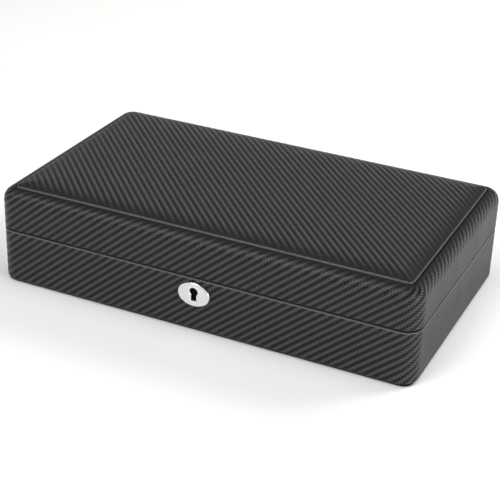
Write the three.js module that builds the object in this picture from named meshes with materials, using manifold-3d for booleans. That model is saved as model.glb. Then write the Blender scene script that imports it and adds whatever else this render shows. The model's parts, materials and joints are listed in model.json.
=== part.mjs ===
// A lockable watch box: a fibreboard tray and a hinged lid, both covered in leatherette, with a padded
// panel let into the lid, a velvet lining, twelve cushions in a divided tray, a box lock let into the
// front rim and two stop hinges at the back.
// Millimetres, +X to the right, +Y to the back, +Z up. The origin is the middle of the underside.
import * as THREE from "three";
import { mergeVertices } from "three/addons/utils/BufferGeometryUtils.js";
import Module from "manifold-3d";

// Overall size, over the leatherette
const boxWidth = 330;
const boxDepth = 192;
const baseHeight = 41.9; // underside of the leatherette to the base's rim
const lidHeight = 31.2; // lid's rim to the top of its border
const partingGap = 0.4; // between the two rims when the lid is shut
const cornerRadius = 13; // upright corners
const lidEdgeRadius = 9.5; // the lid's top edge
const baseEdgeRadius = 2.5; // the base's bottom edge

// Sheet and board thicknesses
const skin = 1.0; // leatherette
const wall = 9.0; // fibreboard walls
const bottomBoard = 4.0;
const topBoard = 4.0;
const felt = 1.2; // under the base
const lining = 2.2; // velvet on card
const floorLining = 1.2;
const divider = 3.0;
const fit = 0.3; // between pieces that are glued or seated together
const turnUnder = 16; // how far in the leatherette reaches under the base
const feltInset = 3.5; // felt's edge, in from the outside
const feltRadius = 8;

// Padded panel in the lid
const border = 9.0; // width of the rounded border round the panel
const recess = 4.0; // depth of the rebate that holds the panel
const groove = 0.5; // round the panel
const padStand = 2.2; // panel's edge above the border
const padCrown = 1.4; // rise of its middle above its edge
const padEdge = 2.0; // radius of its top edge
const padCorner = 4.5; // radius of its corners, seen from above
const crownRun = 46; // distance over which the crown rises
const innerPad = 4.0; // padded panel inside the lid

// Tray
const columns = 6;
const rows = 2;
const lipStand = 4.0; // base lining above the rim, which centres the lid
const lipGap = 0.6; // between wall and lining
const lipClearance = 1.2; // under the lid's own lining
const dividerDrop = 2.4; // divider's top below the rim
const cushionDrop = 5.0; // cushion's top below the dividers' tops
const cushionGap = 0.8; // round a cushion in its cell
const cushionRound = 8;
const cushionEdge = 3;

// Escutcheon and its keyhole
const plateWide = 25;
const plateHigh = 18.6;
const plateThick = 1.5;
const plateEdge = 0.5;
const plateDrop = 12.5; // escutcheon's middle below the rim
const keyHead = 3.0; // radius of the keyhole's round head
const keySlot = 1.9; // half the width of its slot at the head
const keyFoot = 2.1; // half the width of its slot at the bottom
const keyHigh = 10.0; // head and slot together

// Box lock
const caseWide = 36;
const caseThick = 6.2;
const caseHigh = 22;
const caseSheet = 0.7;
const plateSheet = 1.2; // top plate and strike plate
const plateLong = 52;
const plateDeep = 6.4;
const screwReach = 22; // screws, out from the middle
const screwHead = 1.8;
const screwShank = 0.9;
const screwSink = 1.0; // depth of the countersunk head
const screwLong = 8;
const screwSlot = 0.5;
const loopPlaces = [-7, 8]; // the strike's two loops
const loopThick = 1.4;
const loopDeep = 4.0;
const loopDrop = 7.0; // reach of a loop below the lid's rim
const loopEye = { deep: 2.0, top: 2.8, high: 3.0 }; // eye, with its top below the lid's rim
const slotClearance = 0.6; // round a loop in the top plate
const boltThrow = 4.5;
const boltThick = 1.2;
const boltBar = 1.5; // height of the bar that joins the bolt's two fingers
const fingerHigh = 2.0;
const fingerShy = 0.5; // between a finger's tip and its loop at rest
const boltPost = 2.0;
const boltGap = 0.5; // between the bar and the loops above it
const keyPin = 0.9;
const keyPinLong = 3.6;
const springLong = 12;
const springThick = 0.4;
const springRise = 1.0;

// Stop hinges
const hingeSpacing = 190;
const hingeWide = 38;
const knuckles = 5; // odd ones belong to the base, counted from 1
const knuckleGap = 0.3;
const barrelRadius = 2.2;
const barrelClear = 0.4; // between the barrel and the back of the box
const hingePin = 0.9;
const hingeBore = 1.2;
const leafThick = 1.1;
const leafDeep = 8.0;

// How finely round shapes are cut
const cornerSteps = 3;
const edgeSteps = 5;
const roundSteps = 16;

// Heights that follow from the sizes above
const baseBottom = felt + fit;
const baseRim = baseBottom + baseHeight;
const lidRim = baseRim + partingGap;
const boardInset = skin + fit;
const innerInset = boardInset + wall;
const floorTop = baseBottom + boardInset + bottomBoard + fit + floorLining;
const trayBottom = floorTop + fit;
const dividerTop = baseRim - dividerDrop;
const cushionTop = dividerTop - cushionDrop;
const liningInset = innerInset + lipGap;
const trayInset = liningInset + lining;
const trayWidth = boxWidth - 2 * trayInset;
const trayDepth = boxDepth - 2 * trayInset;
const ledge = lidHeight - recess - fit; // top of the lid's board, from its rim
const lockY = -(boxDepth / 2 - innerInset) - caseThick / 2 - fit / 2;
const plateZ = baseRim - plateDrop;
const keyHeadZ = plateZ + keyHigh / 2 - keyHead;
const barrelOut = barrelRadius + barrelClear;
const hingeY = boxDepth / 2 + barrelOut;
const hingeZ = baseRim + partingGap / 2;
const far = 1000; // longer than anything here, for a cut that goes right through

const materials = {
  leatherette: new THREE.MeshStandardMaterial({ color: 0x2e2e30, roughness: 0.5, metalness: 0 }),
  velvet: new THREE.MeshStandardMaterial({ color: 0x1c1c1f, roughness: 0.95, metalness: 0 }),
  cushionVelvet: new THREE.MeshStandardMaterial({ color: 0x3c3c40, roughness: 0.95, metalness: 0 }),
  fibreboard: new THREE.MeshStandardMaterial({ color: 0x8a6a48, roughness: 0.85, metalness: 0 }),
  felt: new THREE.MeshStandardMaterial({ color: 0x151516, roughness: 1, metalness: 0 }),
  satinNickel: new THREE.MeshStandardMaterial({ color: 0xd9d9d6, roughness: 0.35, metalness: 1 }),
  steel: new THREE.MeshStandardMaterial({ color: 0xb4b4b2, roughness: 0.3, metalness: 1 }),
};

const wasm = await Module();
wasm.setup();

// A closed geometry as a solid that can be joined and cut.
function solid(geometry, x = 0, y = 0, z = 0) {
  const bare = geometry.clone().translate(x, y, z);
  bare.deleteAttribute("normal");
  bare.deleteAttribute("uv");
  const merged = mergeVertices(bare, 1e-4);
  const vertProperties = merged.getAttribute("position").array;
  const triVerts = new Uint32Array(merged.index.array);
  return new wasm.Manifold(new wasm.Mesh({ numProp: 3, vertProperties, triVerts }));
}

function geometryOf(body) {
  const mesh = body.getMesh();
  const geometry = new THREE.BufferGeometry();
  geometry.setAttribute("position", new THREE.BufferAttribute(mesh.vertProperties, 3));
  geometry.setIndex(new THREE.BufferAttribute(mesh.triVerts, 1));
  geometry.computeVertexNormals();
  return geometry;
}

function cut(body, ...cutters) {
  return cutters.flat().reduce((rest, cutter) => rest.subtract(cutter), body);
}

// Adds one named piece to a group. The shape is a geometry or a solid.
function add(group, name, shape, material, x = 0, y = 0, z = 0) {
  const geometry = shape.isBufferGeometry ? shape : geometryOf(shape);
  const mesh = new THREE.Mesh(geometry, material.clone());
  mesh.name = name;
  mesh.position.set(x, y, z);
  group.add(mesh);
  return mesh;
}

function box(width, depth, height) {
  return new THREE.BoxGeometry(width, depth, height);
}

// A box as a solid between two heights.
function slab(width, depth, low, high, x = 0, y = 0) {
  return solid(box(width, depth, high - low), x, y, (low + high) / 2);
}

function roundedRectangle(width, height, radius) {
  const x = width / 2 - radius;
  const y = height / 2 - radius;
  const shape = new THREE.Shape();
  shape.absarc(x, y, radius, 0, Math.PI / 2);
  shape.absarc(-x, y, radius, Math.PI / 2, Math.PI);
  shape.absarc(-x, -y, radius, Math.PI, 1.5 * Math.PI);
  shape.absarc(x, -y, radius, 1.5 * Math.PI, 2 * Math.PI);
  shape.closePath();
  return shape;
}

// A prism with its plan's edges rounded over at both ends, standing on z = 0.
function roundedPrism(width, depth, height, radius, edge) {
  const plan = roundedRectangle(width - 2 * edge, depth - 2 * edge, radius - edge);
  const geometry = new THREE.ExtrudeGeometry(plan, {
    depth: height - 2 * edge,
    bevelThickness: edge,
    bevelSize: edge,
    bevelSegments: edgeSteps,
    curveSegments: cornerSteps,
  });
  return geometry.translate(0, 0, edge);
}

// A straight prism with rounded upright corners, between two heights.
function roundedColumn(inset, low, high, radius) {
  const plan = roundedRectangle(boxWidth - 2 * inset, boxDepth - 2 * inset, radius);
  const geometry = new THREE.ExtrudeGeometry(plan, {
    depth: high - low,
    bevelEnabled: false,
    curveSegments: cornerSteps,
  });
  return solid(geometry, 0, 0, low);
}

// A straight prism with square upright corners, between two heights.
function squareColumn(inset, low, high) {
  return slab(boxWidth - 2 * inset, boxDepth - 2 * inset, low, high);
}

// The box's outline, set in by a distance, with its edge rounded at one end only.
function caseBlock(inset, height, edge, rounded) {
  const radius = cornerRadius - inset;
  const reach = edge - inset;
  const tall = height + 2 * reach;
  const whole = solid(
    roundedPrism(boxWidth - 2 * inset, boxDepth - 2 * inset, tall, radius, reach),
    0,
    0,
    rounded === "top" ? height - tall : 0,
  );
  return whole.intersect(slab(far, far, 0, height));
}

// The plan of a mitred board that lies along the front of a frame, as a prism for the whole height.
function mitre(length, offset, turn) {
  const reach = 2 * wall;
  const gap = fit / Math.SQRT2;
  const plan = new THREE.Shape();
  plan.moveTo(-length / 2 + gap, 0);
  plan.lineTo(length / 2 - gap, 0);
  plan.lineTo(length / 2 - gap - reach, reach);
  plan.lineTo(-length / 2 + gap + reach, reach);
  plan.closePath();
  const geometry = new THREE.ExtrudeGeometry(plan, { depth: far, bevelEnabled: false });
  return solid(geometry.translate(0, -offset, -far / 2).rotateZ(turn));
}

// Splits a ring of board into its four mitred walls and cuts each one's openings.
function addWalls(group, prefix, ring, cuts) {
  const sides = [
    ["front", boxWidth, boxDepth / 2, 0],
    ["right", boxDepth, boxWidth / 2, Math.PI / 2],
    ["back", boxWidth, boxDepth / 2, Math.PI],
    ["left", boxDepth, boxWidth / 2, -Math.PI / 2],
  ];
  for (const [side, length, offset, turn] of sides) {
    const board = cut(ring.intersect(mitre(length, offset, turn)), cuts[side] ?? []);
    add(group, `${prefix}_${side}_wall`, board, materials.fibreboard);
  }
}

// Four lining cards between two heights: front and back run through, the sides fit between them.
function addLinings(group, prefix, inset, low, high) {
  const width = boxWidth - 2 * inset;
  const depth = boxDepth - 2 * inset;
  const middle = (low + high) / 2;
  const long = box(width, lining, high - low);
  const short = box(lining, depth - 2 * lining - 2 * fit, high - low);
  const y = (depth - lining) / 2;
  const x = (width - lining) / 2;
  add(group, `${prefix}_lining_front`, long, materials.velvet, 0, -y, middle);
  add(group, `${prefix}_lining_back`, long, materials.velvet, 0, y, middle);
  add(group, `${prefix}_lining_left`, short, materials.velvet, -x, 0, middle);
  add(group, `${prefix}_lining_right`, short, materials.velvet, x, 0, middle);
}

// A keyhole's outline about the middle of its head, grown by a distance.
function keyholePlan(grow) {
  const radius = keyHead + grow;
  const half = keySlot + grow;
  const foot = keyFoot + grow;
  const bottom = keyHead - keyHigh - grow;
  const start = -Math.acos(half / radius);
  const plan = new THREE.Shape();
  plan.moveTo(-foot, bottom);
  plan.lineTo(foot, bottom);
  plan.absarc(0, 0, radius, start, Math.PI - start);
  plan.closePath();
  return plan;
}

// A keyhole as a cutter that runs from front to back, with its head at height z.
function keyholeCutter(grow, front, back, z) {
  const geometry = new THREE.ExtrudeGeometry(keyholePlan(grow), {
    depth: back - front,
    bevelEnabled: false,
    curveSegments: 6,
  });
  return solid(geometry.rotateX(Math.PI / 2), 0, back, z);
}

// A countersunk screw, head up, with the head's top at z = 0. A grown one cuts the screw's hole.
function screwShape(grow) {
  const tip = -screwLong - grow;
  const top = grow > 0 ? far : 0;
  const profile = [
    [0, tip],
    [screwShank + grow, tip],
    [screwShank + grow, -screwSink],
    [screwHead + grow, 0],
    [screwHead + grow, top],
    [0, top],
  ];
  const points = profile.map(([r, z]) => new THREE.Vector2(r, z));
  return new THREE.LatheGeometry(points, roundSteps).rotateX(Math.PI / 2);
}

function screw() {
  const slot = slab(2 * screwHead + 1, screwSlot, -screwSlot, 1);
  return cut(solid(screwShape(0)), slot);
}

// A cylinder along X, centred on the origin.
function rod(radius, length) {
  return new THREE.CylinderGeometry(radius, radius, length, roundSteps).rotateZ(Math.PI / 2);
}

// Openings that the hinges, the lock and the strike need, in the whole box's frame
const hingePlaces = { left: -hingeSpacing / 2, right: hingeSpacing / 2 };
const leafPocket = { wide: hingeWide + 2 * fit, deep: leafDeep + fit, thick: leafThick + fit };

function leafPockets(low, high) {
  const y = boxDepth / 2 - leafPocket.deep / 2 + far / 2;
  return Object.values(hingePlaces).map((x) =>
    slab(leafPocket.wide, leafPocket.deep + far, low, high, x, y),
  );
}

function platePocket(low, high) {
  return slab(plateLong + 2 * fit, plateDeep + 2 * fit, low, high, 0, lockY);
}

const screwPlaces = { left: -screwReach, right: screwReach };

// Base
function makeBase() {
  const base = new THREE.Group();
  base.position.z = baseBottom;
  const floor = boardInset; // heights in this group are from the underside of the leatherette
  const rim = baseHeight;
  const keyZ = keyHeadZ - baseBottom;
  const casePocket = slab(
    caseWide + 2 * fit,
    caseThick + 2 * fit,
    rim - plateSheet - fit - caseHigh - fit,
    far,
    0,
    lockY,
  );
  const screwHoles = Object.values(screwPlaces).map((x) => solid(screwShape(fit), x, lockY, rim));
  const lockCuts = [
    casePocket,
    platePocket(rim - plateSheet - fit, far),
    keyholeCutter(2 * fit, -boxDepth / 2 - 1, lockY, keyZ),
    ...screwHoles,
  ];
  const hingeCuts = leafPockets(rim - leafPocket.thick, far);

  const block = caseBlock(0, rim, baseEdgeRadius, "bottom");
  const hollow = caseBlock(skin, rim - 2 * skin, baseEdgeRadius, "bottom").translate([0, 0, skin]);
  const wrap = cut(
    block,
    hollow,
    squareColumn(innerInset, rim / 2, far),
    squareColumn(turnUnder, -1, rim / 2),
    lockCuts,
    hingeCuts,
  );
  add(base, "base_wrap", wrap, materials.leatherette);

  const boardHeight = rim - 2 * boardInset;
  const boards = caseBlock(boardInset, boardHeight, baseEdgeRadius, "bottom");
  const ring = boards.translate([0, 0, boardInset]).subtract(squareColumn(innerInset, -1, far));
  addWalls(base, "base", ring, { front: lockCuts, back: hingeCuts });

  const floorInset = innerInset + fit;
  const floorWidth = boxWidth - 2 * floorInset;
  const floorDepth = boxDepth - 2 * floorInset;
  const board = box(floorWidth, floorDepth, bottomBoard);
  add(base, "base_bottom_board", board, materials.fibreboard, 0, 0, floor + bottomBoard / 2);
  const liningZ = floorTop - baseBottom - floorLining / 2;
  const sheet = box(floorWidth, floorDepth, floorLining);
  add(base, "base_floor_lining", sheet, materials.velvet, 0, 0, liningZ);
  addLinings(base, "base", liningInset, trayBottom - baseBottom, rim + lipStand);

  const underside = roundedColumn(feltInset, -baseBottom, felt - baseBottom, feltRadius);
  add(base, "underside_felt", underside, materials.felt);
  return base;
}

// Dividers, half-lapped where they cross, and the cushions in the cells between them
function makeTray() {
  const tray = new THREE.Group();
  tray.position.z = trayBottom;
  const high = dividerTop - trayBottom;
  const half = high / 2;
  const long = trayWidth - 2 * fit;
  const across = trayDepth - 2 * fit;
  const pitchX = (trayWidth + divider) / columns;
  const pitchY = (trayDepth + divider) / rows;
  const lap = divider + 2 * fit;
  const crossings = Array.from({ length: columns - 1 }, (_, i) => (i + 1 - columns / 2) * pitchX);

  const notches = crossings.map((x) => slab(lap, lap, half - fit / 2, far, x));
  add(tray, "divider_long", cut(slab(long, divider, 0, high), notches), materials.velvet);
  const cross = cut(slab(divider, across, 0, high), slab(lap, lap, -1, half + fit / 2));
  crossings.forEach((x, i) => {
    add(tray, `divider_cross_${i + 1}`, geometryOf(cross), materials.velvet, x);
  });

  const cushionHigh = cushionTop - trayBottom;
  const cushionWide = pitchX - divider - 2 * cushionGap;
  const cushionLong = pitchY - divider - 2 * cushionGap;
  const side = roundedRectangle(
    cushionLong - 2 * cushionEdge,
    cushionHigh - 2 * cushionEdge,
    cushionRound - cushionEdge,
  );
  const cushion = new THREE.ExtrudeGeometry(side, {
    depth: cushionWide - 2 * cushionEdge,
    bevelThickness: cushionEdge,
    bevelSize: cushionEdge,
    bevelSegments: 2,
    curveSegments: 2,
  });
  cushion.translate(0, 0, cushionEdge - cushionWide / 2).rotateX(Math.PI / 2).rotateZ(Math.PI / 2);
  for (let row = 0; row < rows; row++) {
    for (let column = 0; column < columns; column++) {
      const x = (column + 0.5 - columns / 2) * pitchX;
      const y = (row + 0.5 - rows / 2) * pitchY;
      const name = `cushion_${row * columns + column + 1}`;
      add(tray, name, cushion, materials.cushionVelvet, x, y, cushionHigh / 2);
    }
  }
  return tray;
}

// Lid, with heights from its rim
function makeLid() {
  const lid = new THREE.Group();
  lid.position.z = lidRim;
  const screwHoles = Object.values(screwPlaces).map((x) =>
    solid(screwShape(fit).rotateX(Math.PI), x, lockY, 0),
  );
  const strikeCuts = [platePocket(-1, plateSheet + fit), ...screwHoles];
  const hingeCuts = leafPockets(-1, leafPocket.thick);

  const block = caseBlock(0, lidHeight, lidEdgeRadius, "top");
  const hollow = caseBlock(skin, lidHeight - 2 * skin, lidEdgeRadius, "top").translate([0, 0, skin]);
  const rebate = lidHeight - recess;
  const turned = roundedColumn(border - skin, rebate, lidHeight - skin / 2, padCorner + groove + skin);
  const wrap = cut(
    block.subtract(hollow).add(turned),
    roundedColumn(border, rebate - 1, far, padCorner + groove),
    squareColumn(innerInset, -1, lidHeight / 2),
    strikeCuts,
    hingeCuts,
  );
  add(lid, "lid_wrap", wrap, materials.leatherette);

  const boardHeight = lidHeight - 2 * boardInset;
  const boards = caseBlock(boardInset, boardHeight, lidEdgeRadius, "top");
  const ring = cut(
    boards.translate([0, 0, boardInset]),
    squareColumn(innerInset, -1, far),
    roundedColumn(border - skin - fit, ledge, far, padCorner + groove + skin + fit),
  );
  addWalls(lid, "lid", ring, { front: strikeCuts, back: hingeCuts });

  const panelInset = innerInset + fit;
  const panel = box(boxWidth - 2 * panelInset, boxDepth - 2 * panelInset, topBoard);
  add(lid, "lid_top_board", panel, materials.fibreboard, 0, 0, ledge - topBoard / 2);

  add(lid, "top_pad", topPad(), materials.leatherette, 0, 0, rebate);

  const ceiling = ledge - topBoard - fit;
  const liningLow = lipStand - partingGap + lipClearance;
  addLinings(lid, "lid", panelInset, liningLow, ceiling);
  const padInset = panelInset + lining + fit;
  const soft = box(boxWidth - 2 * padInset, boxDepth - 2 * padInset, innerPad);
  add(lid, "lid_inner_pad", soft, materials.velvet, 0, 0, ceiling - innerPad / 2);
  return lid;
}

// The padded panel: a straight edge with a small radius, and a crown that rises towards the middle.
function topPad() {
  const inset = border + groove;
  const width = boxWidth - 2 * inset;
  const depth = boxDepth - 2 * inset;
  const edgeTop = recess + padStand;
  const slabPart = solid(roundedPrism(width, depth, edgeTop + padEdge, padCorner, padEdge));
  const lower = slabPart.translate([0, 0, -padEdge]).intersect(slab(far, far, 0, far));
  const start = inset + padEdge;
  const crownPlan = roundedRectangle(
    boxWidth - 2 * start - 2 * crownRun,
    boxDepth - 2 * start - 2 * crownRun,
    padCorner,
  );
  const crown = new THREE.ExtrudeGeometry(crownPlan, {
    depth: padEdge,
    bevelThickness: padCrown,
    bevelSize: crownRun,
    bevelSegments: edgeSteps,
    curveSegments: cornerSteps,
  });
  return lower.add(solid(crown, 0, 0, edgeTop - padEdge));
}

// Lock in the base's front rim, with heights from the rim
function makeLock() {
  const lock = new THREE.Group();
  lock.position.set(0, lockY, baseRim);
  const caseTop = -plateSheet - fit;
  const caseLow = caseTop - caseHigh;
  const keyZ = keyHeadZ - baseRim;
  const front = -caseThick / 2;
  const lockCase = cut(
    slab(caseWide, caseThick, caseLow, caseTop),
    slab(caseWide - 2 * caseSheet, caseThick - 2 * caseSheet, caseLow + caseSheet, far),
    keyholeCutter(fit, front - 1, front + 2 * caseSheet, keyZ),
  );
  add(lock, "lock_case", lockCase, materials.steel);

  const slots = loopPlaces.map((x) =>
    slab(loopThick + 2 * slotClearance, loopDeep + 2 * slotClearance, -far, far, x),
  );
  const holes = Object.values(screwPlaces).map((x) => solid(screwShape(fit), x));
  const plate = cut(slab(plateLong, plateDeep, -plateSheet, 0), slots, holes);
  add(lock, "lock_top_plate", plate, materials.satinNickel);
  for (const [side, x] of Object.entries(screwPlaces)) {
    add(lock, `lock_screw_${side}`, screw(), materials.satinNickel, x);
  }

  add(lock, "lock_bolt", lockBolt(), materials.steel);

  const pinY = caseThick / 2 - caseSheet - fit - keyPinLong / 2;
  const pin = new THREE.CylinderGeometry(keyPin, keyPin, keyPinLong, roundSteps);
  add(lock, "lock_key_pin", pin, materials.steel, 0, pinY, keyZ);
  const springX = -caseWide / 2 + caseSheet + springLong / 2 + 1;
  add(lock, "lock_spring", lockSpring(), materials.steel, springX, 0, keyZ - springRise);
  return lock;
}

// The bolt: a bar under the strike's loops, and a hooked finger beside each loop.
function lockBolt() {
  const loopLow = partingGap - loopDrop;
  const eyeMiddle = partingGap - loopEye.top - loopEye.high / 2;
  const barTop = loopLow - boltGap;
  const barLow = barTop - boltBar;
  const fingerTop = eyeMiddle + fingerHigh / 2;
  const fingerLong = boltThrow + fit; // so that the post stays clear of the loop when thrown
  const tips = loopPlaces.map((x) => x - loopThick / 2 - fingerShy);
  const posts = tips.map((tip) => tip - fingerLong - boltPost);
  const barLong = posts[1] + boltPost - posts[0];
  const barMiddle = posts[0] + barLong / 2;
  let bolt = slab(barLong, boltThick, barLow, barTop, barMiddle);
  tips.forEach((tip, i) => {
    const long = tip - posts[i];
    bolt = bolt
      .add(slab(boltPost, boltThick, barLow, fingerTop, posts[i] + boltPost / 2))
      .add(slab(long, boltThick, fingerTop - fingerHigh, fingerTop, posts[i] + long / 2));
  });
  return bolt;
}

// A leaf spring, bowed upwards, under the bolt.
function lockSpring() {
  const half = springLong / 2;
  const band = new THREE.Shape();
  band.moveTo(-half, 0);
  band.quadraticCurveTo(0, 2 * springRise, half, 0);
  band.lineTo(half, -springThick);
  band.quadraticCurveTo(0, 2 * springRise - springThick, -half, -springThick);
  band.closePath();
  const deep = caseThick - 2 * caseSheet - 2 * fit;
  const geometry = new THREE.ExtrudeGeometry(band, {
    depth: deep,
    bevelEnabled: false,
    curveSegments: edgeSteps,
  });
  return geometry.rotateX(Math.PI / 2).translate(0, deep / 2, 0);
}

// Strike plate in the lid's front rim, with heights from the lid's rim
function makeStrike() {
  const strike = new THREE.Group();
  strike.position.set(0, lockY, lidRim);
  const eyeTop = -loopEye.top;
  let plate = slab(plateLong, plateDeep, 0, plateSheet);
  for (const x of loopPlaces) {
    const loop = slab(loopThick, loopDeep, -loopDrop, plateSheet / 2, x);
    plate = plate.add(cut(loop, slab(far, loopEye.deep, eyeTop - loopEye.high, eyeTop)));
  }
  const turned = screwShape(fit).rotateX(Math.PI);
  const holes = Object.values(screwPlaces).map((x) => solid(turned, x));
  add(strike, "strike_plate", cut(plate, holes), materials.satinNickel);
  for (const [side, x] of Object.entries(screwPlaces)) {
    const fastener = add(strike, `strike_screw_${side}`, screw(), materials.satinNickel, x);
    fastener.rotation.x = Math.PI;
  }
  return strike;
}

// One leaf of a hinge about its pin: a plate in the rim and the knuckles that it rolls into.
function hingeLeaf(first, sign) {
  const low = sign > 0 ? partingGap / 2 : -partingGap / 2 - leafThick;
  const high = low + leafThick;
  const plateY = -barrelOut - leafDeep / 2;
  let leaf = slab(hingeWide, leafDeep, low, high, 0, plateY);
  const pitch = hingeWide / knuckles;
  const long = pitch - knuckleGap;
  for (let i = first; i < knuckles; i += 2) {
    const x = (i + 0.5) * pitch - hingeWide / 2;
    const tongue = slab(long, barrelOut + 1, low, high, x, -(barrelOut + 1) / 2);
    leaf = leaf.add(tongue).add(solid(rod(barrelRadius, long), x));
  }
  return leaf.subtract(solid(rod(hingeBore, 2 * hingeWide)));
}

function makeHinges() {
  const hinges = new THREE.Group();
  for (const [side, x] of Object.entries(hingePlaces)) {
    const hinge = new THREE.Group();
    hinge.position.set(x, hingeY, hingeZ);
    add(hinge, `hinge_${side}_base_leaf`, hingeLeaf(0, -1), materials.satinNickel);
    add(hinge, `hinge_${side}_lid_leaf`, hingeLeaf(1, 1), materials.satinNickel);
    add(hinge, `hinge_${side}_pin`, rod(hingePin, hingeWide), materials.satinNickel);
    hinges.add(hinge);
  }
  return hinges;
}

// Escutcheon on the front of the base, over the keyhole
function makeEscutcheon() {
  const mount = new THREE.Group();
  mount.position.set(0, -boxDepth / 2 - fit, plateZ);
  const oval = new THREE.Shape();
  oval.absellipse(0, 0, plateWide / 2 - plateEdge, plateHigh / 2 - plateEdge, 0, 2 * Math.PI);
  const blank = new THREE.ExtrudeGeometry(oval, {
    depth: plateThick - 2 * plateEdge,
    bevelThickness: plateEdge,
    bevelSize: plateEdge,
    bevelSegments: 3,
    curveSegments: roundSteps,
  });
  const plate = solid(blank.translate(0, 0, plateEdge).rotateX(Math.PI / 2));
  const hole = keyholeCutter(0, -plateThick - 1, 1, keyHeadZ - plateZ);
  add(mount, "escutcheon", cut(plate, hole), materials.satinNickel);
  return mount;
}

const watchBox = new THREE.Group();
watchBox.add(
  makeBase(),
  makeTray(),
  makeLid(),
  makeLock(),
  makeStrike(),
  makeHinges(),
  makeEscutcheon(),
);
export default watchBox;
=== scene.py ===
"""The looks of the watch box: twill-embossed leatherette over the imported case, a padded panel in the lid,
velvet inside, and satin metal fittings. Metres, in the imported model's frame."""

import json
import math

import bmesh
import bpy
import numpy as np
from mathutils import Matrix, Vector, noise
from mathutils.bvhtree import BVHTree


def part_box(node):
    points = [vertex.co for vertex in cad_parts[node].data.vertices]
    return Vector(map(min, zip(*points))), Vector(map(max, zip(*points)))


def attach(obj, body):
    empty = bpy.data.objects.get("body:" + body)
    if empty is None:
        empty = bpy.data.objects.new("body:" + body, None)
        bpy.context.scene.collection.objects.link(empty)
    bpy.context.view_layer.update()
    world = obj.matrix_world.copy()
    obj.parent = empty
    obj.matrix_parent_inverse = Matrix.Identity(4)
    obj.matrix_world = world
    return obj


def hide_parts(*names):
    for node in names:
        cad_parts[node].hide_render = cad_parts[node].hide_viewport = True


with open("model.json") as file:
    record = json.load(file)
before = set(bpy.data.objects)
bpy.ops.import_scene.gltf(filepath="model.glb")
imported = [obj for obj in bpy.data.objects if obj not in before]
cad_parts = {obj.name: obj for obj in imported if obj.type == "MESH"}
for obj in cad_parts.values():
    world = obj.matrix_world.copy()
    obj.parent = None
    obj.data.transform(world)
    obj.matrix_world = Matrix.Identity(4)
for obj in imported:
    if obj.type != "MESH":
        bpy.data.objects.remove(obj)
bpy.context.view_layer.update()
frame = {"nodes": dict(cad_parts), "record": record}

MM = 0.001

# Shape of the case, where the boxes of its nodes don't say it
CORNER = 13 * MM  # upright corners
LID_EDGE = 9.5 * MM  # the lid's top edge
BASE_EDGE = 2.5 * MM  # the base's bottom edge
SKIN = 1.0 * MM
RIM_INSET = 10.3 * MM  # how far in the leatherette covers the rims
BORDER = 9.0 * MM  # round the padded panel
RECESS = 4.0 * MM
FLANGE_CORNER = 5.0 * MM  # corner of the opening that holds the panel
TURN_UNDER = 16 * MM  # leatherette turned under the base
FOLD = 1.0 * MM  # radius of the leatherette where it folds over an edge
FLAP, FLAP_SHEET = 5.0 * MM, 0.3 * MM  # leatherette turned up inside the lid, skived thin
TIGHT, RIM_CORNER = 0.4 * MM, 0.6 * MM  # least corners of the covers, hidden and on the rims
RIM_FADE, UNDER_FADE, BORDER_FADE = 1.6 * MM, 3 * MM, 6 * MM  # where the embossing rises from an edge; the painted shade along that edge fades out the same way
HIGHLIGHT_BAND = 0.45 * MM  # half the width of the painted highlight on the base's rim
FIT = 0.3 * MM  # gap round a piece that is let into another
RIM_CUT = 1.4 * MM  # depth of the cuts in the rims' leatherette for the hinges and the lock
PLATE_CUT = 6.7 * MM  # how far back the lock's cuts go

# Embossed twill
CASE_TOW = (1.76 * MM, 1.47 * MM)  # width of a tow round the case and up it
PAD_TOW = (1.57 * MM, 1.68 * MM)  # and across and along the padded panel
RIDGE_RISE = 0.11 * MM  # relief of the ridges, which is in the meshes
TOW_RISE = 0.13 * MM  # relief of each tow, which is in the material
REPEAT = 4  # tows to one repeat of the twill
MESH_STEP = 0.85 * MM

# Padded panel
PAD_CORNER = 4.5 * MM
PAD_LIP = 0.9 * MM  # radius of its edge
PAD_SHOW = 0.9 * MM  # top of that edge above the border
PAD_SOFT, PAD_SOFT_RUN = 1.9 * MM, 6 * MM  # how far it rises within a short way of the edge
PAD_CROWN, PAD_CROWN_RUN = 0.8 * MM, 26 * MM  # and towards its middle
PAD_FLAT, PAD_FADE = 2 * MM, 13 * MM  # no embossing this near its edge, and how far it takes to come back; the plain band by the edge is painted with shade
PAD_HIGHLIGHT = 0.5 * MM  # painted highlight this near its edge

# Padded panel inside the lid
LINER_CORNER, LINER_LIP = 1.5 * MM, 1.2 * MM
LINER_SOFT, LINER_SOFT_RUN = 1.5 * MM, 7 * MM
LINER_STEP = 2 * MM

# Velvet strips and felt
LINING_EDGE, FLOOR_EDGE, DIVIDER_EDGE = 1.0 * MM, 0.5 * MM, 1.3 * MM
FELT_CORNER, FELT_EDGE = 8 * MM, 0.35 * MM
FELT_SPREAD = 1.2 * MM  # its pressed edge, past its plain solid

# Fittings, where the boxes of their nodes don't say it
KEY_HEAD, KEY_SLOT, KEY_FOOT, KEY_HIGH = 3.0 * MM, 1.9 * MM, 2.1 * MM, 10.0 * MM
KEY_CHAMFER = 0.45 * MM
KEY_CLEAR = 0.6 * MM  # round the keyhole in the leatherette behind the plate
PLATE_RIM, PLATE_HOLLOW = 0.75 * MM, 0.16 * MM  # roll round the keyhole plate, and the dip inside it
PLATE_EDGE = 0.22 * MM  # of the lock's two plates
LOCK_SCREWS = 22 * MM  # out from the middle
LOOPS = (-7 * MM, 8 * MM)  # the strike's two loops
LOOP_THICK, LOOP_DEEP = 1.4 * MM, 4.0 * MM
LOOP_CLEAR = 0.6 * MM  # round a loop in the top plate
EYE_DEEP, EYE_TOP, EYE_HIGH = 2.0 * MM, 2.8 * MM, 3.0 * MM
SHEET = 1.2 * MM  # the lock's two plates
LEAF = 1.1 * MM  # the hinges' leaves
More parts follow.
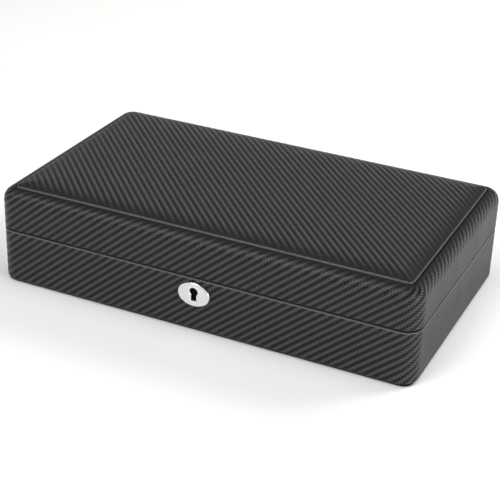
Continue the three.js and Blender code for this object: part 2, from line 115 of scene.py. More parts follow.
LEAF_DEEP, LEAF_EDGE = 8.0 * MM, 0.2 * MM
KNUCKLES, KNUCKLE_GAP, KNUCKLE_EDGE = 5, 0.3 * MM, 0.25 * MM
BARREL, BORE = 2.2 * MM, 1.2 * MM
RIM_GAP = 0.4 * MM  # between the base's rim and the lid's
HINGE_SCREWS = (-13 * MM, 0, 13 * MM)  # along a leaf, from its middle
SCREW_HEAD, SCREW_SHANK, SCREW_SINK = 1.8 * MM, 0.9 * MM, 1.0 * MM
SCREW_LONG, SCREW_TAPER = 6.5 * MM, 1.9 * MM
SCREW_EDGE, SCREW_CLEAR = 0.12 * MM, 0.15 * MM
SCREW_SLOT, SCREW_SLOT_DEEP = 0.5 * MM, 0.55 * MM

# Watch cushions
VOXEL = 4 * MM
CUSHION_START = (0.95, 0.95, 0.90)  # share of its final size before it is blown up
CUSHION_EDGE = 5.5 * MM
CUSHION_PRESSURE, CUSHION_CAP = 4, 6 * MM
CUSHION_SEAM = 5.5 * MM  # in from each end
SEAM_PULL, SEAM_PULL_REACH = 0.9 * MM, 1.6 * MM
PUCKERS, PUCKER_DEEP, PUCKER_REACH = 34, 0.28 * MM, 4.5 * MM  # across each seam
WELT, WELT_POINTS = 0.6 * MM, 120  # cord sewn into each seam
CUSHION_PRESSED = 1.2 * MM  # how far it is flattened where it rests on the tray's floor


# ---- meshes

def new_mesh(name, points, faces, smooth=True):
    mesh = bpy.data.meshes.new(name)
    mesh.from_pydata([tuple(p) for p in points], [], [tuple(f) for f in faces])
    mesh.polygons.foreach_set("use_smooth", [smooth] * len(mesh.polygons))
    mesh.update()
    piece = bpy.data.objects.new(name, mesh)
    bpy.context.scene.collection.objects.link(piece)
    return piece


def get_points(mesh):
    points = np.zeros(len(mesh.vertices) * 3)
    mesh.vertices.foreach_get("co", points)
    return points.reshape(-1, 3)


def set_points(mesh, points):
    mesh.vertices.foreach_set("co", points.ravel())
    mesh.update()


def grid_faces(rows, columns, loop_rows, loop_columns):
    """Quads of a grid of points, row by row, that may close on itself either way."""
    r = np.arange(rows if loop_rows else rows - 1)
    c = np.arange(columns if loop_columns else columns - 1)
    r, c = np.meshgrid(r, c, indexing="ij")
    up, across = (r + 1) % rows, (c + 1) % columns
    corners = [r * columns + c, r * columns + across, up * columns + across, up * columns + c]
    return np.stack(corners, -1).reshape(-1, 4)


def set_map(piece, name, u, v, loop_u=None):
    """Keeps two numbers for each point as a UV map. loop_u is u's length round a closed ring."""
    mesh = piece.data
    layer = mesh.uv_layers.new(name=name)
    corner = np.zeros(len(mesh.loops), np.int32)
    mesh.loops.foreach_get("vertex_index", corner)
    uv = np.stack([u[corner], v[corner]], -1)
    if loop_u:
        # Where a face crosses the ring's start, its corners there go on counting up
        starts = [face.loop_start for face in mesh.polygons]
        counts = [face.loop_total for face in mesh.polygons]
        reach = np.repeat(np.maximum.reduceat(uv[:, 0], starts), counts)
        uv[reach - uv[:, 0] > loop_u / 2, 0] += loop_u
    layer.data.foreach_set("uv", uv.astype(np.float32).ravel())


def grid_normals(points, loop_rows, loop_columns):
    """Unit normals of a grid of points that may close on itself either way."""
    def step(axis, loop):
        if loop:
            return np.roll(points, -1, axis) - np.roll(points, 1, axis)
        return np.gradient(points, axis=axis)

    normal = np.cross(step(1, loop_columns), step(0, loop_rows))
    return normal / np.maximum(np.linalg.norm(normal, axis=-1, keepdims=True), 1e-12)


def ridges(u, v, lean):
    """Height of the twill's ridges, from -1 to 1. lean is 1 where they fall to the right and -1 where they
    rise."""
    middle = 3.5 if lean > 0 else 2.5
    return np.cos(2 * np.pi * (u + lean * v - middle) / REPEAT)


def straight(start, end, step):
    """Points from start up to, not including, end."""
    start, end = np.array(start, float), np.array(end, float)
    count = max(1, round(float(np.linalg.norm((end - start)[:2])) / step))
    return [start + (end - start) * k / count for k in range(count)]


def bend(inset, z, radius, start, end, steps, corner):
    """Points round an arc of a profile, in degrees: 0 faces out, 90 up, -90 down."""
    made = []
    for k in range(steps):
        a = math.radians(start + (end - start) * k / steps)
        out = inset - radius * math.cos(a)
        made.append(np.array([out, z + radius * math.sin(a), corner(out)]))
    return made


def rings(profile, half_width, half_depth, columns):
    """One closed ring for each (inset, height, corner radius) of a profile, counterclockwise from above,
    from the left end of the front. columns are the points along a long side, a short side and a corner."""
    long, short, turn = columns
    made = []
    for inset, z, radius in profile:
        cx, cy = half_width - inset - radius, half_depth - inset - radius
        ring = []
        for side, (x, y) in enumerate([(cx, -cy), (cx, cy), (-cx, cy), (-cx, -cy)]):
            count = long if side % 2 == 0 else short
            before = [(-cx, -cy), (cx, -cy), (cx, cy), (-cx, cy)][side]
            facing = math.radians(90 * side - 90)
            out = np.array([math.cos(facing), math.sin(facing)]) * radius
            t = (np.arange(count) / count)[:, None]
            ring.append(np.array(before) * (1 - t) + np.array([x, y]) * t + out)
            a = facing + np.radians(90) * np.arange(turn) / turn
            ring.append(np.array([x, y]) + radius * np.stack([np.cos(a), np.sin(a)], -1))
        flat = np.concatenate(ring)
        made.append(np.column_stack([flat, np.full(len(flat), z)]))
    return np.array(made)


def boxed(low, high):
    """The eight corners and six faces of a box, for a cutter."""
    points = [(x, y, z) for z in (low[2], high[2]) for y in (low[1], high[1]) for x in (low[0], high[0])]
    faces = [(0, 2, 3, 1), (4, 5, 7, 6), (0, 1, 5, 4), (2, 6, 7, 3), (0, 4, 6, 2), (1, 3, 7, 5)]
    return points, faces


def keep_result(piece):
    """Applies a piece's modifiers."""
    shown = piece.evaluated_get(bpy.context.evaluated_depsgraph_get())
    old = piece.data
    piece.data = bpy.data.meshes.new_from_object(shown)
    piece.data.name = piece.name
    piece.modifiers.clear()
    bpy.data.meshes.remove(old)


def combine(piece, shapes, operation="DIFFERENCE"):
    """Cuts closed shapes, each (points, faces), out of a piece, or joins them to it with "UNION"."""
    for points, faces in shapes:
        tool = new_mesh("shape", points, faces, smooth=False)
        modifier = piece.modifiers.new("combine", "BOOLEAN")
        modifier.operation = operation
        modifier.solver = "MANIFOLD"
        modifier.object = tool
        keep_result(piece)
        bpy.data.meshes.remove(tool.data)


def face_out(piece):
    """Turns a closed mesh's faces so that they all point out."""
    made = bmesh.new()
    made.from_mesh(piece.data)
    bmesh.ops.recalc_face_normals(made, faces=made.faces)
    made.to_mesh(piece.data)
    made.free()


def crisp(piece, degrees=35):
    """Keeps a fitting's flats flat and its edges sharp in smooth shading."""
    mesh = piece.data
    mesh.polygons.foreach_set("use_smooth", [True] * len(mesh.polygons))
    mesh.set_sharp_from_angle(angle=math.radians(degrees))
    modifier = piece.modifiers.new("normals", "WEIGHTED_NORMAL")
    modifier.keep_sharp = True
    keep_result(piece)


def rounded_block(name, low, high, edge, segments=4):
    """A block with all its edges rounded."""
    low, high = Vector(low), Vector(high)
    made = bmesh.new()
    bmesh.ops.create_cube(made, size=1)
    for vertex in made.verts:
        vertex.co = Vector(low[k] + (high[k] - low[k]) * (vertex.co[k] + 0.5) for k in range(3))
    bmesh.ops.bevel(made, geom=list(made.edges), offset=edge, segments=segments, profile=0.5, affect="EDGES")
    piece = new_mesh(name, [v.co for v in made.verts], [[v.index for v in f.verts] for f in made.faces])
    made.free()
    return piece


def placed(shape, place, turn=None):
    """A shape turned by a 3 x 3 matrix and moved."""
    points, faces = shape
    points = np.array(points, float)
    if turn is not None:
        points = points @ np.array(turn).T
    return points + np.array(place), faces


def turned(outline, segments=40):
    """A solid of revolution about Z from (radius, height) points that start and end on the axis."""
    a = 2 * np.pi * np.arange(segments) / segments
    points = [(0, 0, outline[0][1])]
    for r, z in outline[1:-1]:
        points += [(r * math.cos(t), r * math.sin(t), z) for t in a]
    points.append((0, 0, outline[-1][1]))
    faces = [(0, 1 + (k + 1) % segments, 1 + k) for k in range(segments)]
    for row in range(len(outline) - 3):
        low = 1 + row * segments
        for k in range(segments):
            m = (k + 1) % segments
            faces.append((low + k, low + m, low + segments + m, low + segments + k))
    last = len(points) - 1
    low = last - segments
    faces += [(last, low + k, low + (k + 1) % segments) for k in range(segments)]
    return points, faces


def capped(loops):
    """Points and faces of a solid from a stack of rings, closed by one face at each end."""
    rows, columns = loops.shape[:2]
    faces = [tuple(f) for f in grid_faces(rows, columns, False, True)]
    faces.append(tuple(range(columns))[::-1])
    faces.append(tuple(range((rows - 1) * columns, rows * columns)))
    return loops.reshape(-1, 3), faces


def rounded_outline(half_a, half_b, radius, step):
    """Points round a rounded rectangle, counterclockwise, about the origin."""
    turn = 5
    counts = [max(2, round(2 * (half - radius) / step)) for half in (half_a, half_b)]
    ring = rings([(0, 0, radius)], half_a, half_b, (*counts, turn))[0]
    return ring[:, :2]


def strays(points, scale, reach):
    """How far each point strays: a smooth noise of its place."""
    flat = np.asarray(points).reshape(-1, 3)
    values = [noise.noise(Vector(p) * scale) for p in flat]
    return reach * np.array(values).reshape(np.asarray(points).shape[:-1])


def strip(name, low, high, edge, step=2 * MM, stray=0.07 * MM):
    """A covered strip along its longer level side, with rounded edges and a surface that strays a little."""
    low, high = np.array(low), np.array(high)
    size, middle = high - low, (high + low) / 2
    along = 0 if size[0] > size[1] else 1
    outline = rounded_outline(size[1 - along] / 2, size[2] / 2, edge, step)
    stations = np.linspace(-size[along] / 2, size[along] / 2, round(size[along] / step) + 1)
    loops = np.zeros((len(stations), len(outline), 3))
    loops[..., along] = stations[:, None]
    loops[..., 1 - along] = outline[:, 0]
    loops[..., 2] = outline[:, 1]
    away = grid_normals(loops, False, True)
    loops = loops + middle - np.abs(strays(loops + middle, 160, stray))[..., None] * away
    piece = new_mesh(name, *capped(loops))
    face_out(piece)
    return piece


# ---- materials

PAINTED_HIGHLIGHT = (0.17, 0.168, 0.168, 1)  # colour of the highlight painted along the leatherette's edges


class Nodes:
    """A short way to write a material's node tree."""

    def __init__(self, name):
        self.material = bpy.data.materials.new(name)
        self.material.use_nodes = True
        self.tree = self.material.node_tree
        self.shader = self.tree.nodes["Principled BSDF"]

    def put(self, socket, value):
        if isinstance(value, bpy.types.NodeSocket):
            self.tree.links.new(value, socket)
        elif value is not None:
            socket.default_value = value

    def math(self, operation, a, b=None, c=None):
        node = self.tree.nodes.new("ShaderNodeMath")
        node.operation = operation
        for socket, value in zip(node.inputs, (a, b, c)):
            self.put(socket, value)
        return node.outputs[0]

    def mix(self, factor, a, b):
        node = self.tree.nodes.new("ShaderNodeMix")
        node.data_type = "RGBA"
        self.put(node.inputs["Factor"], factor)
        self.put(node.inputs[6], a)
        self.put(node.inputs[7], b)
        return node.outputs[2]

    def noise(self, vector, scale, detail=2.0, roughness=0.5):
        node = self.tree.nodes.new("ShaderNodeTexNoise")
        self.put(node.inputs["Vector"], vector)
        node.inputs["Scale"].default_value = scale
        node.inputs["Detail"].default_value = detail
        node.inputs["Roughness"].default_value = roughness
        return node.outputs["Fac"]

    def remap(self, value, low, high, to_low, to_high):
        node = self.tree.nodes.new("ShaderNodeMapRange")
        self.put(node.inputs["Value"], value)
        for name, number in zip(("From Min", "From Max", "To Min", "To Max"), (low, high, to_low, to_high)):
            node.inputs[name].default_value = number
        return node.outputs["Result"]

    def split_map(self, name):
        """The two numbers of a UV map."""
        node = self.tree.nodes.new("ShaderNodeUVMap")
        node.uv_map = name
        split = self.tree.nodes.new("ShaderNodeSeparateXYZ")
        self.put(split.inputs[0], node.outputs[0])
        return split.outputs[0], split.outputs[1]

    def place(self):
        """The point's place in the row frame, in metres."""
        return self.tree.nodes.new("ShaderNodeTexCoord").outputs["Object"]

    def distance(self, vector, point):
        node = self.tree.nodes.new("ShaderNodeVectorMath")
        node.operation = "DISTANCE"
        self.put(node.inputs[0], vector)
        node.inputs[1].default_value = point
        return node.outputs["Value"]

    def stretched(self, vector, scale):
        node = self.tree.nodes.new("ShaderNodeMapping")
        self.put(node.inputs["Vector"], vector)
        node.inputs["Scale"].default_value = scale
        return node.outputs["Vector"]

    def bump(self, height, distance, normal=None):
        node = self.tree.nodes.new("ShaderNodeBump")
        self.put(node.inputs["Height"], height)
        node.inputs["Distance"].default_value = distance
        self.put(node.inputs["Normal"], normal)
        return node.outputs["Normal"]

    def set(self, **values):
        """Sets the shader's sockets, named with underscores for spaces."""
        for name, value in values.items():
            self.put(self.shader.inputs[name.replace("_", " ")], value)
        return self.material


def shade(colour, share):
    """A darker or paler opaque colour."""
    return tuple(c * share for c in colour) + (1,)


def twill(name, lean, dark, light, last_dark, smoothness=0.0):
    """Black leatherette embossed like a 2 x 2 carbon twill, with painted light and shade on its tows: dark
    upright tows, painted as if shaded, and light level ones, painted as if lit from above. Its coordinates
    are the weave map, in tows, and the edge map says where a highlight is painted and where it is smooth,
    which is painted with shade.
    last_dark is the last tow of the repeat that is wholly dark, and the tows after it pass to light ones.
    smoothness, from 0 to 1, flattens the embossing, as on leatherette stretched over foam."""
    n = Nodes(name)
    u, v = n.split_map("weave")
    # The edge map: where a highlight is painted, and where the embossing stops, which is painted with shade
    highlight_mask, smooth = n.split_map("edge")
    column, row = n.math("FLOOR", u), n.math("FLOOR", v)
    fu = n.math("SUBTRACT", n.math("SUBTRACT", u, column), 0.5)
    fv = n.math("SUBTRACT", n.math("SUBTRACT", v, row), 0.5)
    phase = n.math("FLOORED_MODULO", n.math("MULTIPLY_ADD", row, float(lean), column), float(REPEAT))
    weft = n.math("GREATER_THAN", phase, 1.5)

    # Where the point is along and across the tow on top: upright tows first, level ones second
    upright_along = n.math("MULTIPLY_ADD", n.math("SUBTRACT", phase, 0.5), float(lean), fv)
    level_along = n.math("ADD", fu, n.math("SUBTRACT", phase, 2.5))

    def pick(level, upright):
        return n.math("MULTIPLY_ADD", weft, n.math("SUBTRACT", level, upright), upright)

    along, across = pick(level_along, upright_along), pick(fv, fu)
    across = n.math("POWER", n.math("ABSOLUTE", across), 2.4)
    along = n.math("MULTIPLY", along, along)
    round_across = n.math("SUBTRACT", 1.0, n.math("MULTIPLY", across, 4.6))
    round_along = n.math("SUBTRACT", 1.0, n.math("MULTIPLY", along, 0.62))
    tow = n.math("MULTIPLY", round_across, round_along)
    embossed = n.math("SUBTRACT", 1.0, smooth)
    place = n.place()
    grain = n.noise(place, 2600.0, 3.0, 0.6)
    normal = n.bump(grain, 0.014 * MM)
    normal = n.bump(n.math("MULTIPLY", tow, embossed), TOW_RISE * (1 - smoothness), normal)

    middle = [(low + high) * 0.5 for low, high in zip(dark, light)]
    patch = n.noise(place, 38.0, 3.0, 0.55)
    raised = n.remap(tow, 0.1, 0.8, 0.0, 1.0)
    # Painted light and shade: the level tows painted light as if lit from above, the upright ones dark as if
    # shaded
    colour = n.mix(n.remap(phase, last_dark, 2.0, 0.0, 1.0), (*dark, 1), (*light, 1))
    colour = n.mix(raised, shade(middle, 0.35), colour)
    # Painted shade where the embossing stops: darker at the folds into the rim gap, the bottom edge, the
    # lid's border and the panel's edge
    colour = n.mix(smooth, colour, shade(middle, 0.4))
    colour = n.mix(n.remap(grain, 0.42, 0.62, 0.0, 0.35), colour, shade(middle, 0.4))
    # Painted highlight along the edges, strongest on the raised tows
    colour = n.mix(n.math("MULTIPLY", highlight_mask, n.remap(tow, 0.1, 0.8, 0.25, 1.0)), colour, PAINTED_HIGHLIGHT)
    gloss = n.math("MULTIPLY_ADD", weft, -0.10, 0.42)
    gloss = n.math("ADD", gloss, n.remap(tow, 0.1, 0.9, 0.1, 0.0))
    gloss = n.math("ADD", gloss, n.remap(patch, 0.3, 0.7, -0.03, 0.03))
    gloss = n.math("MULTIPLY_ADD", highlight_mask, -0.1, gloss)
    return n.set(Base_Color=colour, Roughness=gloss, Normal=normal, Specular_IOR_Level=0.20)


def velvet(name, colour, tip):
    """Short pile that is paler where it is brushed up or seen along the surface."""
    n = Nodes(name)
    place = n.place()
    pile = n.noise(place, 1900.0, 3.0, 0.65)
    nap = n.noise(n.stretched(place, (1.0, 0.45, 1.0)), 55.0, 4.0, 0.6)
    brushed = n.remap(nap, 0.35, 0.68, 0.0, 1.0)
    base = n.mix(brushed, (*colour, 1), shade(colour, 1.9))
    base = n.mix(n.remap(pile, 0.35, 0.65, 0.0, 0.55), base, shade(colour, 0.35))
    normal = n.bump(nap, 0.5 * MM)
    normal = n.bump(pile, 0.16 * MM, normal)
    return n.set(Base_Color=base, Roughness=0.92, Normal=normal, Specular_IOR_Level=0.2,
                 Sheen_Weight=0.55, Sheen_Roughness=0.35, Sheen_Tint=(*tip, 1))


def felt(name):
    """Pressed wool felt, nearly black, with short fibres."""
    n = Nodes(name)
    place = n.place()
    fibres = n.noise(n.stretched(place, (1.0, 2.2, 1.0)), 1300.0, 4.0, 0.7)
    tone = n.mix(n.remap(fibres, 0.3, 0.7, 0.0, 1.0), (0.006, 0.006, 0.006, 1), (0.016, 0.016, 0.017, 1))
    return n.set(Base_Color=tone, Roughness=1.0, Normal=n.bump(fibres, 0.25 * MM), Sheen_Weight=0.25,
                 Specular_IOR_Level=0.15)


def metal(name, colour, rough, brushed):
    """Plated or pressed metal with fine brushing along X and faint handling marks."""
    n = Nodes(name)
    place = n.place()
    brush = n.noise(n.stretched(place, (0.06, 1.0, 1.0)), 5200.0, 2.0, 0.6)
    marks = n.noise(place, 210.0, 4.0, 0.6)
    dull = n.remap(marks, 0.35, 0.7, rough - 0.05, rough + 0.09)
    tone = n.mix(n.remap(marks, 0.4, 0.75, 0.0, 0.5), (*colour, 1), shade(colour, 0.82))
    return n.set(Base_Color=tone, Metallic=1.0, Roughness=dull, Normal=n.bump(brush, brushed * MM))


def board(name):
    """Raw fibreboard: fine tan fibres and darker specks, with painted shade: black round the keyhole, where
    the hole is dark.
    """
    n = Nodes(name)
    place = n.place()
    fibres = n.noise(n.stretched(place, (1.0, 1.0, 2.6)), 900.0, 5.0, 0.7)
    specks = n.noise(place, 2400.0, 2.0, 0.5)
    tone = n.mix(n.remap(fibres, 0.3, 0.7, 0.0, 1.0), (0.19, 0.115, 0.055, 1), (0.33, 0.215, 0.115, 1))
    tone = n.mix(n.remap(specks, 0.62, 0.75, 0.0, 0.6), tone, (0.08, 0.045, 0.02, 1))
    low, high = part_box("escutcheon")
    from_key = n.distance(place, ((low.x + high.x) / 2, low.y, (low.z + high.z) / 2))
    # Painted shade: black on the board round the keyhole, standing in for the dark hole
    tone = n.mix(n.remap(from_key, 13 * MM, 16 * MM, 1.0, 0.0), tone, (0.004, 0.004, 0.004, 1))
    return n.set(Base_Color=tone, Roughness=0.88, Normal=n.bump(fibres, 0.08 * MM))


# The two tow colours are painted light and shade on one black leatherette: light for level tows, dark for
# upright ones
DARK_TOW = (0.001, 0.001, 0.0012)
PAD_TWILL = twill("pad_leatherette", 1, DARK_TOW, (0.079, 0.0765, 0.077), 0.6, smoothness=0.2)
SLOTS = {
    "leatherette": twill("case_leatherette", -1, DARK_TOW, (0.068, 0.065, 0.069), 1.0),
    "velvet": velvet("lining_velvet", (0.010, 0.010, 0.012), (0.30, 0.30, 0.34)),
    "cushion_velvet": velvet("cushion_velvet", (0.035, 0.035, 0.040), (0.55, 0.55, 0.60)),
    "felt": felt("underside_felt"),
    "satin_nickel": metal("satin_nickel", (0.80, 0.805, 0.805), 0.30, 0.006),
    "steel": metal("pressed_steel", (0.50, 0.50, 0.49), 0.36, 0.010),
    "fibreboard": board("fibreboard"),
}


def finished(piece, slot, body, replaced=(), material=None):
    """Gives a new piece its material, which is the slot's own unless one is given, puts it in its body, and
    hides the CAD nodes that it stands for."""
    piece.data.materials.clear()
    piece.data.materials.append(material or SLOTS[slot])
    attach(piece, body)
    if replaced:
        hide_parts(*replaced)
    return piece


# ---- leatherette covers

def cover(node, body, hidden, outer, relief, cutters, highlight=None):
    """A closed sheet of leatherette swept round the case. hidden and outer are the rows of its profile, which
    run up its outer side. relief says how strong the ridges are on an outer row, and the material paints
    shade where they fade out; highlight says how strong a painted highlight is on the row, if there is one."""
    low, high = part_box(node)
    half_width, half_depth = (high.x - low.x) / 2, (high.y - low.y) / 2
    profile = hidden + outer
    sides = [2 * (half - CORNER) for half in (half_width, half_depth)]
    turn = CORNER * math.pi / 2
    columns = [max(2, round(length / MESH_STEP)) for length in (*sides, turn)]
    points = rings(profile, half_width, half_depth, columns)
    lengths = [[length / count] * count for length, count in zip((*sides, turn), columns)]
    lengths = np.array((lengths[0] + lengths[2] + lengths[1] + lengths[2]) * 2)
    whole = REPEAT * round(lengths.sum() / CASE_TOW[0] / REPEAT)
    around = np.concatenate([[0], np.cumsum(lengths)[:-1]]) / lengths.sum() * whole
    moves = np.diff(np.array(profile)[:, :2], axis=0)
    along = np.concatenate([[0], np.cumsum(np.linalg.norm(moves, axis=1))]) / CASE_TOW[1]
    u, v = np.meshgrid(around, along)
    strength = np.array([0.0] * len(hidden) + [relief(row) for row in outer])
    rise = RIDGE_RISE * strength[:, None] * ridges(u, v, -1)
    points = points + grid_normals(points, True, True) * rise[..., None]
    piece = new_mesh(f"{body}_cover", points.reshape(-1, 3), grid_faces(*points.shape[:2], True, True))
    set_map(piece, "weave", u.ravel(), v.ravel(), whole)
    # The edge map: a painted highlight on the rows that highlight picks, and the rows without ridges, which
    # the material paints with shade
    highlighted = np.zeros(len(profile))
    if highlight:
        highlighted[len(hidden):] = [highlight(row) for row in outer]
    across = points.shape[1]
    set_map(piece, "edge", np.repeat(highlighted, across), 1 - np.repeat(strength, across))
    combine(piece, cutters)
    return finished(piece, "leatherette", body, [node])


def upright(inset):
    """Radius of the case's upright corner, at an inset from its outside."""
    return max(CORNER - inset, TIGHT)


def to_flange(inset):
    """Radius of that corner on the lid's rounded edge, where it passes to the panel's."""
    return max(CORNER - inset, FLANGE_CORNER)


def fade(distance, over):
    """From 0 to 1 as a distance grows from nothing to over."""
    return min(1.0, max(0.0, distance / over))


def make_base_cover():
    low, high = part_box("base_wrap")
    rim, under = high.z, low.z
    hidden = [
        (RIM_INSET, rim - FOLD / 2, TIGHT),
        (RIM_INSET, rim - SKIN, TIGHT),
        (SKIN, rim - SKIN, upright(SKIN)),
        (SKIN, under + BASE_EDGE, upright(SKIN)),
        (BASE_EDGE, under + SKIN, upright(BASE_EDGE)),
        (TURN_UNDER, under + SKIN, TIGHT),
        (TURN_UNDER, under, TIGHT),
    ]
    outer = straight((TURN_UNDER, under, TIGHT), (BASE_EDGE, under, upright(BASE_EDGE)), 4 * MM)[1:]
    outer += bend(BASE_EDGE, under + BASE_EDGE, BASE_EDGE, -90, 0, 6, upright)
    outer += straight((0, under + BASE_EDGE, CORNER), (0, rim - FOLD, CORNER), MESH_STEP)
    outer += bend(FOLD, rim - FOLD, FOLD, 0, 90, 5, upright)
    outer += straight((FOLD, rim, upright(FOLD)), (RIM_INSET - FOLD / 2, rim, RIM_CORNER), 3 * MM)
    outer.append((RIM_INSET - FOLD / 2, rim, RIM_CORNER))

    def relief(row):
        inset, z, _ = row
        return fade(rim - z, RIM_FADE) * fade(z - under, UNDER_FADE) if inset < SKIN else 0.0

    # Painted highlight: a thin bright line where the base's rim starts to round over
    def highlight(row):
        return 1 - fade(abs(row[1] - rim + FOLD), HIGHLIGHT_BAND)

    plate_low, plate_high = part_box("escutcheon")
    middle = (plate_low.z + plate_high.z) / 2
    keyhole = keyhole_shape(KEY_CLEAR, KEY_CLEAR, low.y - SKIN, low.y + 1.2 * SKIN, middle)
    return cover("base_wrap", "base", hidden, outer, relief, rim_cuts("base", rim) + [keyhole], highlight)


def make_lid_cover():
    low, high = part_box("lid_wrap")
    rim, top = low.z, high.z
    opening, rounded = top - RECESS, top - LID_EDGE
    hidden = [
        (BORDER, opening, FLANGE_CORNER),
        (BORDER - SKIN, opening, FLANGE_CORNER + SKIN),
        (BORDER - SKIN, top - 1.3 * SKIN, FLANGE_CORNER + SKIN),
        (0.6 * LID_EDGE, top - 1.6 * SKIN, to_flange(0.6 * LID_EDGE)),
        (0.25 * LID_EDGE + SKIN, top - 0.38 * LID_EDGE, upright(0.25 * LID_EDGE + SKIN)),
        (SKIN, rounded, upright(SKIN)),
        (SKIN, rim + SKIN, upright(SKIN)),
        (RIM_INSET, rim + SKIN, RIM_CORNER),
        (RIM_INSET, rim + FLAP, RIM_CORNER),
        (RIM_INSET + FLAP_SHEET, rim + FLAP, TIGHT),
        (RIM_INSET + FLAP_SHEET, rim + FLAP_SHEET, TIGHT),
    ]
    lip = BORDER - FOLD
    outer = [(RIM_INSET, rim, RIM_CORNER)]
    outer += straight((RIM_INSET, rim, RIM_CORNER), (FOLD, rim, upright(FOLD)), 3 * MM)[1:]
    outer += bend(FOLD, rim + FOLD, FOLD, -90, 0, 5, upright)
    outer += straight((0, rim + FOLD, CORNER), (0, rounded, CORNER), MESH_STEP)
    slope = math.degrees(math.acos((LID_EDGE - lip) / LID_EDGE))
    steps = round(LID_EDGE * math.pi / 2 / MESH_STEP)
    outer += bend(LID_EDGE, rounded, LID_EDGE, 0, slope, steps, to_flange)
    outer += bend(lip, top - FOLD, FOLD, 90, 180, 5, lambda inset: FLANGE_CORNER)
    outer += straight((BORDER, top - FOLD, FLANGE_CORNER), (BORDER, opening, FLANGE_CORNER), 1.2 * MM)

    def relief(row):
        inset, z, _ = row
        return fade(z - rim, RIM_FADE) * fade(lip - inset, BORDER_FADE)

    return cover("lid_wrap", "lid", hidden, outer, relief, rim_cuts("lid", rim))


def rim_cuts(body, rim):
    """The openings that the hinge leaves and the lock's plates need in a cover."""
    below, above = rim - RIM_CUT, rim + RIM_CUT
    cuts = []
    for side in ("left", "right"):
        low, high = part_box(f"hinge_{side}_{body}_leaf")
        cuts.append(boxed((low.x - FIT, low.y - FIT, below), (high.x + FIT, high.y + FIT, above)))
    low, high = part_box("lock_top_plate" if body == "base" else "strike_plate")
    cuts.append(boxed((low.x - FIT, low.y - FIT, below), (high.x + FIT, low.y + PLATE_CUT, above)))
    return cuts


# ---- padded panel on the lid

def pad_shape(half_width, half_depth, corner, step, lip, height, levels):
    """Points and faces of a pad that faces up, with how far in from its edge each point is. height says how
    far a point of its upper side is above the lip, and levels are the heights of the rows below its edge."""
    nx, ny = round(2 * half_width / step), round(2 * half_depth / step)
    columns = np.linspace(-half_width, half_width, nx)
    rows = np.linspace(-half_depth, half_depth, ny)
    gx, gy = np.meshgrid(columns, rows)
    from_side, from_end = half_width - np.abs(gx), half_depth - np.abs(gy)
    # The grid's square corners are pulled in to round ones
    near = (from_side < corner) & (from_end < corner)
    dx, dy = 1 - from_side / corner, 1 - from_end / corner
    square = np.maximum(dx, dy)
    scale = square / np.maximum(np.hypot(dx, dy), 1e-9) * corner
    x = np.where(near, np.sign(gx) * (half_width - corner + dx * scale), gx)
    y = np.where(near, np.sign(gy) * (half_depth - corner + dy * scale), gy)
    inside = np.where(near, corner * (1 - square), np.minimum(from_side, from_end))
    top = np.stack([x, y, lip + height(x, y, inside)], -1)
    edge = [(0, k) for k in range(nx)] + [(k, nx - 1) for k in range(1, ny)]
    edge += [(ny - 1, k) for k in range(nx - 2, -1, -1)] + [(k, 0) for k in range(ny - 2, 0, -1)]
    points = list(top.reshape(-1, 3))
    faces = list(grid_faces(ny, nx, False, False))
    above = [a * nx + b for a, b in edge]
    for level in levels:
        below = [len(points) + k for k in range(len(edge))]
        points += [(x[a, b], y[a, b], level) for a, b in edge]
        for k in range(len(edge)):
            after = (k + 1) % len(edge)
            faces.append((above[k], below[k], below[after], above[after]))
        above = below
    faces.append(tuple(above[::-1]))
    inside = np.concatenate([inside.ravel(), np.zeros(len(points) - inside.size)])
    return np.array(points), faces, inside


def lip_drop(inside, radius):
    """How far a pad's upper side is rounded off at its edge."""
    return radius * (1 - np.sqrt(1 - np.clip(1 - inside / radius, 0, 1) ** 2))


def make_top_pad():
    """The foam panel under its own leatherette: a soft lower edge, then a slow rise to a crown."""
    low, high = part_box("top_pad")
    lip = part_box("lid_wrap")[1].z + PAD_SHOW

    def height(x, y, inside):
        rise = PAD_SOFT * (1 - np.exp(-inside / PAD_SOFT_RUN))
        rise += PAD_CROWN * (1 - np.exp(-inside / PAD_CROWN_RUN))
        embossed = 0.9 * RIDGE_RISE * ridges(x / PAD_TOW[0], y / PAD_TOW[1], 1)
        return rise - lip_drop(inside, PAD_LIP) + embossed * np.clip((inside - PAD_FLAT) / PAD_FADE, 0, 1)

    levels = (lip - PAD_LIP - 0.6 * MM, (lip + low.z) / 2, low.z)
    half_width, half_depth = (high.x - low.x) / 2, (high.y - low.y) / 2
    shape = pad_shape(half_width, half_depth, PAD_CORNER, MESH_STEP, lip, height, levels)
    points, faces, inside = shape
    piece = new_mesh("padded_panel", points, faces)
    set_map(piece, "weave", points[:, 0] / PAD_TOW[0], points[:, 1] / PAD_TOW[1])
    # Painted highlight along the panel's lip, on its upper side only
    on_top = points[:, 2] > levels[0] + 0.1 * MM
    highlighted = 0.7 * (1 - np.clip(inside / PAD_HIGHLIGHT, 0, 1)) * on_top
    # Where the embossing stops near the edge, which the material paints with shade
    set_map(piece, "edge", highlighted, 1 - np.clip((inside - PAD_FLAT / 2) / PAD_FADE, 0, 1))
    finished(piece, "leatherette", "lid", ["top_pad"], PAD_TWILL)


# ---- velvet, felt and cushions

